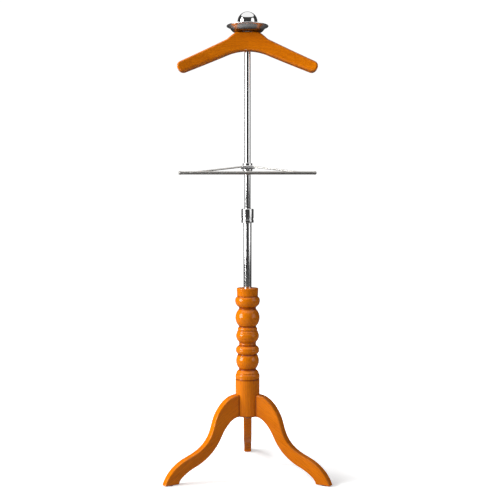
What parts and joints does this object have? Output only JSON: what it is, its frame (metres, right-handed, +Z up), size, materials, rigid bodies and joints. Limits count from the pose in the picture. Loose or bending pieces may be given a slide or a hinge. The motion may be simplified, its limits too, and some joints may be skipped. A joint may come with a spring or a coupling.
{
  "type": "valet stand",
  "caption": "Free-standing valet stand: turned wooden tripod base, telescoping chromed pole, wooden shoulder yoke, fold-up trouser bar, small dish under a ball.",
  "frame": {"origin": "on the floor under the pole's axis", "axes": "+Z up along the pole, -Y to the front, where the trouser bar is, +X to the right as seen from the front"},
  "size_m": [0.5068, 0.439, 1.43],
  "materials": {
    "honey_lacquered_wood": "gloss honey-orange lacquer over fine straight grain",
    "chromed_steel": "bright polished chrome plate",
    "plain_steel": "plain turned and zinc-plated steel",
    "white_nylon": "natural nylon, satin",
    "dark_glides": "black plastic, matt",
    "grey_felt": "pressed wool felt"
  },
  "bodies": {
    "base": {"base_hub": "honey_lacquered_wood", "turned_spindle": "honey_lacquered_wood", "leg_front_left": "honey_lacquered_wood", "leg_front_right": "honey_lacquered_wood", "leg_rear": "honey_lacquered_wood", "leg_dowels": "honey_lacquered_wood", "floor_glides": "dark_glides", "hub_plate": "plain_steel", "hub_plate_screws": "plain_steel", "tie_rod": "plain_steel", "tie_rod_washer": "plain_steel", "tie_rod_nut": "plain_steel", "lower_tube": "chromed_steel", "lower_tube_plug": "plain_steel", "guide_bush": "white_nylon", "lock_collar": "chromed_steel"},
    "lock_screw": {"lock_knob": "chromed_steel", "lock_stud": "plain_steel", "lock_pad": "white_nylon"},
    "foot_ring": {"slide_foot": "white_nylon"},
    "pole": {"foot_spigot": "plain_steel", "upper_tube": "chromed_steel", "upper_tube_plug": "plain_steel", "top_stud": "plain_steel", "shoulder_yoke": "honey_lacquered_wood", "dish_washer": "grey_felt", "dish": "chromed_steel", "ball": "chromed_steel", "ball_bush": "plain_steel", "bar_collar": "chromed_steel", "bar_collar_screw": "plain_steel"},
    "bar": {"bar_wires": "chromed_steel", "trouser_bar": "chromed_steel", "bar_end_balls": "chromed_steel"}
  },
  "joints": [
    {"name": "lock_turn", "type": "hinge", "parent": "base", "child": "lock_screw", "pos_m": [0, 0.021, 0.812], "axis": [0, 1, 0], "range_deg": [0, 540]},
    {"name": "pole_slide", "type": "slide", "parent": "base", "child": "foot_ring", "axis": [0, 0, 1], "range_m": [-0.09, 0.09]},
    {"name": "pole_turn", "type": "hinge", "parent": "foot_ring", "child": "pole", "pos_m": [0, 0, 0.63], "axis": [0, 0, 1], "continuous": true},
    {"name": "bar_fold", "type": "hinge", "parent": "pole", "child": "bar", "pos_m": [0, -0.021, 0.95], "axis": [-1, 0, 0], "range_deg": [0, 100]}
  ]
}
